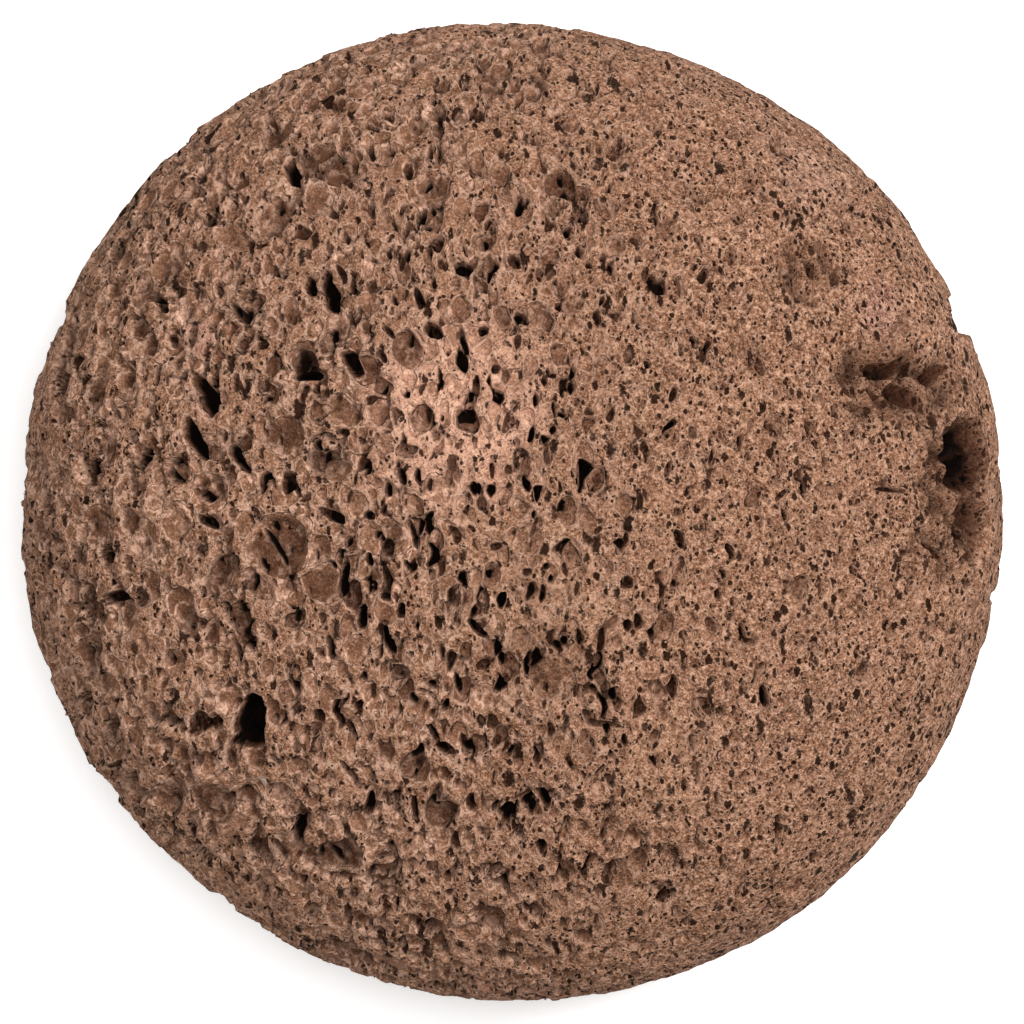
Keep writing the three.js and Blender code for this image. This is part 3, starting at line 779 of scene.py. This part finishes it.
class Nodes:
    """Short hand for a material's node tree."""

    def __init__(self, name):
        """A new material whose surface is one Principled shader."""
        self.material = bpy.data.materials.new(name)
        self.material.use_nodes = True
        self.tree = self.material.node_tree
        self.tree.nodes.clear()
        self.out = self.tree.nodes.new("ShaderNodeOutputMaterial")
        self.shader = self.tree.nodes.new("ShaderNodeBsdfPrincipled")
        self.tree.links.new(self.shader.outputs[0], self.out.inputs[0])

    def node(self, kind, **settings):
        """A new shader node of the kind, with the settings given."""
        new = self.tree.nodes.new("ShaderNode" + kind)
        for key, value in settings.items():
            setattr(new, key, value)
        return new

    def link(self, source, target):
        """Joins an output to an input."""
        self.tree.links.new(source, target)

    def attribute(self, name):
        """The mesh's value of that name at each point."""
        return self.node("Attribute", attribute_name=name).outputs["Fac"]

    def math(self, operation, a, b=None, c=None, clamp=False):
        """The operation on a, b and c, each a number or an output."""
        new = self.node("Math", operation=operation, use_clamp=clamp)
        for socket, value in zip(new.inputs, (a, b, c)):
            if value is None:
                continue
            if isinstance(value, (int, float)):
                socket.default_value = value
            else:
                self.link(value, socket)
        return new.outputs[0]

    def ramp(self, value, low, high, to_low=0.0, to_high=1.0):
        """to_low where the value is at low, to_high where it is at high, and an S curve between."""
        new = self.node("MapRange", interpolation_type="SMOOTHSTEP")
        self.link(value, new.inputs["Value"])
        new.inputs["From Min"].default_value = low
        new.inputs["From Max"].default_value = high
        new.inputs["To Min"].default_value = to_low
        new.inputs["To Max"].default_value = to_high
        return new.outputs["Result"]

    def mix(self, factor, a, b, blend="MIX"):
        """Colour a times (1 - factor) plus the blend of a and b times the factor."""
        new = self.node("Mix", data_type="RGBA", blend_type=blend)
        for socket, value in ((new.inputs[0], factor), (new.inputs[6], a), (new.inputs[7], b)):
            if isinstance(value, (int, float)):
                socket.default_value = value
            elif isinstance(value, tuple):
                socket.default_value = (*value, 1.0)
            else:
                self.link(value, socket)
        return new.outputs[2]


def colour(r, g, b):
    """A display colour of 0 to 255 as the linear light that the shader takes: the sRGB curve undone."""
    return tuple(((v / 255 + 0.055) / 1.055) ** 2.4 if v > 10 else v / 255 / 12.92 for v in (r, g, b))


# Blotches of colour on the upper face: x, y and reach in mm, strength and colour.
BLOTCHES = [
    (-5.0, 8.0, 10.0, 0.80, (208, 160, 136)),
    (-25.0, 13.6, 2.2, 0.60, (206, 152, 134)),
    (-24.0, 8.4, 1.6, 0.55, (206, 152, 134)),
    (29.6, 16.0, 3.4, 0.45, (158, 112, 106)),
    (12.0, -20.0, 6.0, 0.30, (182, 136, 104)),
    (3.0, -7.0, 8.0, 0.40, (188, 142, 112)),
    (-31.0, -4.0, 9.0, 0.40, (108, 74, 56)),
    (24.0, 27.0, 5.5, 0.30, (192, 152, 134)),
    (-30.3, 23.4, 0.9, 0.75, (190, 184, 160)),
    (-19.7, -21.5, 0.6, 0.80, (222, 204, 190)),
]


def top_of(x, y):
    """Height of the smooth skin above the centre at x, y, by halving the gap between inside and outside."""
    low, high = 0.0, 2 * CROWN_HEIGHT
    for _ in range(40):
        z = (low + high) / 2
        q = np.array([[x, y, z]])
        if np.linalg.norm(q) < stone_radius(q / np.linalg.norm(q))[0]:
            low = z
        else:
            high = z
    return low


def pumice_material():
    """The rock's colour and its finest relief, with painted shade and painted highlights in the colour.

    The colour starts as a drifting brown and is mixed towards each layer in turn by that layer's share:
    blotches, bubble floors, grain, rims, pinholes, and the painted shade of the hollows. The grain's
    specks are partly the rock's speckle and partly painted shade and painted glints that follow the
    relief, the pale rings round the pinholes are partly painted glints, the darkening of the pinholes,
    hollows, creases and hole mouths is painted shade, and the crown's pale patch is brightened by a
    painted pool of light. The relief is the grain and the pinholes' rims, less the pinholes' depth."""
    n = Nodes("pumice")
    place = n.node("TexCoord").outputs["Object"]

    def noise_at(scale, detail=3.0, roughness=0.55, vector=None, output="Fac"):
        """Layered smooth noise, with the scale in lattice steps a metre."""
        new = n.node("TexNoise", noise_dimensions="3D")
        n.link(vector or place, new.inputs["Vector"])
        new.inputs["Scale"].default_value = scale
        new.inputs["Detail"].default_value = detail
        new.inputs["Roughness"].default_value = roughness
        return new.outputs[output]

    def shaken(scale, reach, stretch=(1.0, 1.0, 1.0)):
        """The place moved about by a noise, stretched and turned, so that cells lose their even shapes
        and rows."""
        push = n.node("VectorMath", operation="MULTIPLY_ADD")
        n.link(noise_at(scale, 2.0, 0.6, output="Color"), push.inputs[0])
        push.inputs[1].default_value = (reach, reach, reach)
        n.link(place, push.inputs[2])
        tall = n.node("Mapping")
        n.link(push.outputs[0], tall.inputs["Vector"])
        tall.inputs["Scale"].default_value = stretch
        tall.inputs["Rotation"].default_value = (0.6, 0.5, 0.9)
        return tall.outputs[0]

    def voronoi(scale, vector):
        """Cells around scattered points: the distance to the nearest point, and that point's own colour."""
        new = n.node("TexVoronoi", feature="F1", voronoi_dimensions="3D")
        n.link(vector, new.inputs["Vector"])
        new.inputs["Scale"].default_value = scale
        return new

    hollow = n.attribute("hollow")
    rough = n.attribute("rough")
    axes = n.node("SeparateXYZ")
    n.link(place, axes.inputs[0])
    fine = n.ramp(axes.outputs[0], -0.010, 0.020)

    def widest(values):
        """The greatest of the values."""
        out = values[0]
        for value in values[1:]:
            out = n.math("MAXIMUM", out, value)
        return out

    def less(share, amount, value):
        """The value, less the given amount of it where the share is 1."""
        return n.math("MULTIPLY", value, n.math("MULTIPLY_ADD", share, -amount, 1.0))

    ragged = n.math("SUBTRACT", noise_at(3600, 3, 0.65), 0.5)
    broken = n.math("SUBTRACT", noise_at(1500, 3, 0.65), 0.5)
    fray = n.math("MULTIPLY_ADD", broken, 0.24, n.math("MULTIPLY", ragged, 0.16))
    crease = n.attribute("crease")

    def rim_of(mouth, width):
        """1 at the mouth's edge, where its distance is 0, falling to 0 at the width on both sides."""
        return n.ramp(n.math("ABSOLUTE", mouth), width, 0.1 * width)

    mouths = {name: n.math("ADD", n.attribute(name), fray)
              for name in ("deep", "dish", "great", "foam", "small", "slot", "cleft", "pore")}
    floor = widest([n.ramp(mouths[name], 0.0, 0.10, 0.0, share)
                    for name, share in (("dish", 1.0), ("great", 1.0), ("foam", 0.9), ("small", 0.75))])
    floor = less(rough, 0.9, less(fine, 0.75, floor))
    rim = widest([rim_of(mouths[name], width)
                  for name, width in (("dish", 0.11), ("great", 0.11), ("foam", 0.10), ("small", 0.09),
                                      ("slot", 0.08), ("deep", 0.10))])
    rim = less(rough, 0.8, less(fine, 0.6, rim))
    hole_mouth_shade = widest([n.ramp(mouths[name], 0.02, 0.14, 0.0, share)
                   for name, share in (("deep", 1.0), ("slot", 0.9), ("cleft", 0.9), ("pore", 0.85))])
    # body of the rock: a reddish brown that drifts over the stone and is mottled finely
    drift = n.ramp(noise_at(55, 3), 0.35, 0.65)
    body = n.mix(drift, colour(134, 93, 69), colour(150, 107, 82))
    tint = n.ramp(noise_at(900, 3, 0.65), 0.35, 0.65)
    body = n.mix(n.math("MULTIPLY", tint, 0.7), body, colour(164, 119, 92))
    dull = n.ramp(noise_at(430, 4, 0.7), 0.50, 0.68)
    body = n.mix(n.math("MULTIPLY", dull, 0.55), body, colour(100, 66, 47))
    # blotches: a paler, pinker patch on the crown, a few smaller ones and two pale crusts; the first
    # one's share also brightens the crown at the end, as a painted pool of light
    edge, crown = noise_at(260, 4, 0.6), None
    for x, y, reach, strength, tone in BLOTCHES:
        apart = n.node("VectorMath", operation="DISTANCE")
        n.link(place, apart.inputs[0])
        apart.inputs[1].default_value = (x * MM, y * MM, (top_of(x, y) + REST_DEPTH) * MM)
        away = n.math("MULTIPLY_ADD", edge, reach * 1.2 * MM, apart.outputs["Value"])
        share = n.ramp(away, reach * 1.7 * MM, reach * 0.8 * MM, 0.0, strength)
        body = n.mix(share, body, colour(*tone))
        crown = crown or share
    # bubble floors are smoother, greyer and darker
    body = n.mix(n.math("MULTIPLY", floor, n.ramp(noise_at(760, 3, 0.6), 0.36, 0.62, 0.45, 0.90)), body,
                 n.mix(tint, colour(86, 56, 40), colour(110, 76, 56)))
    # a spongy grain of dark and pale specks, coarser ones and fine ones; both follow the bump's height,
    # so they are partly the rock's speckle, partly painted shade in the low spots and painted glints on
    # the high spots
    clean = n.math("SUBTRACT", 1.0, n.math("MULTIPLY", floor, 0.74, clamp=True))
    grain = noise_at(2300, 4, 0.72, shaken(900, 0.00040))
    crumbs = noise_at(5600, 2, 0.6)
    speckled = n.math("MULTIPLY", clean, n.math("MULTIPLY_ADD", fine, 0.32, 0.68))
    body = n.mix(n.math("MULTIPLY", n.ramp(grain, 0.49, 0.38), n.math("MULTIPLY", speckled, 0.86)),
                 body, colour(68, 34, 17))
    body = n.mix(n.math("MULTIPLY", n.ramp(grain, 0.52, 0.63), n.math("MULTIPLY", speckled, 0.86)),
                 body, colour(212, 166, 138))
    crumbly = less(floor, 0.5, 0.50)
    body = n.mix(n.math("MULTIPLY", n.ramp(crumbs, 0.46, 0.34), crumbly), body, colour(72, 40, 24))
    body = n.mix(n.math("MULTIPLY", n.ramp(crumbs, 0.54, 0.66), crumbly), body, colour(220, 178, 152))
    # pale broken rims
    body = n.mix(n.math("MULTIPLY", rim, n.ramp(noise_at(1700, 3, 0.7), 0.40, 0.58, 0.20, 0.95)),
                 body, colour(208, 166, 142))
    # fine bubbles: pinholes of two sizes, and small upright slots that are fewer in the +X half
    crowd = n.ramp(noise_at(330, 3, 0.6), 0.35, 0.62, 0.55, 1.25)
    layers = (
        # scale, size, share, more of them on the fine side, wander, place
        (620, 0.44, 0.52, -0.26, 0.55, shaken(700, 0.00100, (1.50, 0.66, 1.0))),
        (1250, 0.46, 0.42, 0.10, 0.60, shaken(1000, 0.00060, (1.25, 0.75, 1.0))),
        (2300, 0.50, 0.42, 0.24, 0.60, shaken(1600, 0.00034, (1.10, 0.85, 1.0))),
    )
    pinhole_shade, pinhole_rims_and_glints, relief = None, None, None
    for scale, size, share, more, wander, spot in layers:
        cell = voronoi(scale, spot)
        chance = n.node("SeparateColor")
        n.link(cell.outputs["Color"], chance.inputs[0])
        opening = n.math("MULTIPLY", n.math("MULTIPLY_ADD", fine, more, share), crowd)
        is_open = n.math("LESS_THAN", chance.outputs[0], opening)
        radius = n.math("MULTIPLY_ADD", n.math("POWER", chance.outputs[1], 1.6), size * 0.80, size * 0.22)
        away = n.math("SUBTRACT", cell.outputs["Distance"], radius)
        away = n.math("MULTIPLY_ADD", ragged, wander, away)
        pit = n.math("MULTIPLY", n.ramp(away, 0.08, -0.12), is_open)
        pit = n.math("MULTIPLY", pit, n.math("MULTIPLY_ADD", chance.outputs[2], 0.30, 0.72))
        ring = n.math("MULTIPLY", n.ramp(away, 0.04, 0.10), n.ramp(away, 0.26, 0.12))
        rim_and_glint = n.math("MULTIPLY", ring, is_open)
        depth = n.math("MULTIPLY", pit, 340.0 / scale)
        pinhole_shade = pit if pinhole_shade is None else n.math("MAXIMUM", pinhole_shade, pit)
        pinhole_rims_and_glints = rim_and_glint if pinhole_rims_and_glints is None else n.math("MAXIMUM", pinhole_rims_and_glints, rim_and_glint)
        relief = depth if relief is None else n.math("MAXIMUM", relief, depth)
    pinhole_shade = n.math("MULTIPLY", pinhole_shade, clean)
    relief = n.math("MULTIPLY", relief, clean)
    pinhole_rims_and_glints = n.math("MULTIPLY", n.math("MULTIPLY", pinhole_rims_and_glints, clean), n.ramp(noise_at(2100, 3, 0.75), 0.40, 0.62))
    # pale rings just outside the pinholes: partly the rock's pale rims, partly painted glints
    pale = n.math("MULTIPLY", pinhole_rims_and_glints, n.math("MULTIPLY_ADD", fine, 0.20, 0.60))
    body = n.mix(pale, body, colour(218, 173, 147))
    # painted shade: the pinholes darken to near black, standing in for the shade inside them
    body = n.mix(n.ramp(pinhole_shade, 0.0, 0.9, 0.0, 0.94), body, colour(30, 10, 3))
    # painted shade: the hollows darken with depth, the deepest to near black, and so do the creases of
    # the torn patches and the mouths of the deep holes, slots, clefts and pores; the torn patches are dark
    body = n.mix(n.math("MULTIPLY", rough, 0.40), body, colour(92, 60, 43))
    body = n.mix(n.math("MULTIPLY", crease, 0.75, clamp=True), body, colour(34, 16, 8))
    body = n.mix(n.math("MULTIPLY", hole_mouth_shade, 0.50), body, colour(56, 25, 11))
    body = n.mix(n.ramp(hollow, 0.22, 1.15, 0.0, 0.66), body, colour(48, 20, 8))
    body = n.mix(n.ramp(hollow, 1.1, 1.9, 0.0, 0.96), body, colour(5, 2, 1))
    # painted pool of light: the crown's pale patch is brightened by the first blotch's share
    body = n.mix(n.math("MULTIPLY", crown, 0.9), body, (1.32, 1.29, 1.27), "MULTIPLY")
    n.link(body, n.shader.inputs["Base Color"])
    n.shader.inputs["Roughness"].default_value = 0.92
    n.shader.inputs["Specular IOR Level"].default_value = 0.05
    # relief too fine for the mesh: pinholes, their rims and the grain
    height = n.math("MULTIPLY", n.math("MULTIPLY", grain, clean), 0.60)
    height = n.math("MULTIPLY_ADD", crumbs, 0.10, height)
    height = n.math("SUBTRACT", height, relief)
    height = n.math("MULTIPLY_ADD", pinhole_rims_and_glints, 0.06, height)
    bump = n.node("Bump")
    bump.inputs["Strength"].default_value = 1.0
    bump.inputs["Distance"].default_value = 1.0 * MM
    n.link(height, bump.inputs["Height"])
    n.link(bump.outputs[0], n.shader.inputs["Normal"])
    return n.material


def make_floor():
    """A plain pale square: corners at plus and minus the floor's reach along X and Y, at height 0."""
    mesh = bpy.data.meshes.new("floor")
    far = FLOOR_REACH
    mesh.from_pydata([(-far, -far, 0), (far, -far, 0), (far, far, 0), (-far, far, 0)], [], [(0, 1, 2, 3)])
    floor = bpy.data.objects.new("floor", mesh)
    bpy.context.scene.collection.objects.link(floor)
    n = Nodes("pale_floor")
    n.shader.inputs["Base Color"].default_value = (0.9, 0.9, 0.9, 1)
    n.shader.inputs["Roughness"].default_value = 0.9
    n.shader.inputs["Emission Color"].default_value = (1, 1, 1, 1)
    n.shader.inputs["Emission Strength"].default_value = 0.3
    mesh.materials.append(n.material)


def area_light(name, place, target, size, power):
    """A soft round lamp at the place, facing along the target less the place."""
    lamp = bpy.data.lights.new(name, "AREA")
    lamp.shape = "DISK"
    lamp.size = size
    lamp.energy = power
    light = bpy.data.objects.new(name, lamp)
    light.location = place
    towards = Vector(target) - Vector(place)
    light.rotation_euler = towards.to_track_quat("-Z", "Y").to_euler()
    bpy.context.scene.collection.objects.link(light)


def make_lights():
    """Soft, slightly warm studio light: an even world, a key lamp from the upper +X, +Y side and a lamp
    over the crown."""
    world = bpy.data.worlds.new("studio")
    world.use_nodes = True
    world.node_tree.nodes["Background"].inputs[0].default_value = (1.0, 0.96, 0.91, 1)
    world.node_tree.nodes["Background"].inputs[1].default_value = 0.20
    bpy.context.scene.world = world
    area_light("key", (0.34, 0.24, 0.70), (0, 0, 0.03), 0.34, 6.1)
    area_light("front", (-0.02, 0.02, 0.95), (0, 0, 0.03), 0.28, 6.2)


def make_camera():
    """Looks straight down on the stone from above its widest level.

    The distance is the stone's radius over half the width that the lens sees at unit distance, so that
    the stone fills the given share of the frame."""
    lens = 250.0
    half_sensor = 18.0
    lo, hi = cad_box
    radius = (hi.x - lo.x) / 2
    share = 0.9560
    distance = radius / (half_sensor / lens * share)
    camera = bpy.data.cameras.new("camera")
    camera.lens = lens
    camera.clip_end = 50
    rig = bpy.data.objects.new("camera", camera)
    rig.location = (0.05 * MM, -0.08 * MM, REST_DEPTH * MM + distance)
    bpy.context.scene.collection.objects.link(rig)
    bpy.context.scene.camera = rig


bpy.context.scene.view_settings.view_transform = "Standard"
bpy.context.scene.view_settings.look = "None"
stone = build_skin()
stone.data.materials.append(pumice_material())
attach(stone, "root")
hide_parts("pumice_stone")
make_floor()
make_lights()
make_camera()
say("scene made")
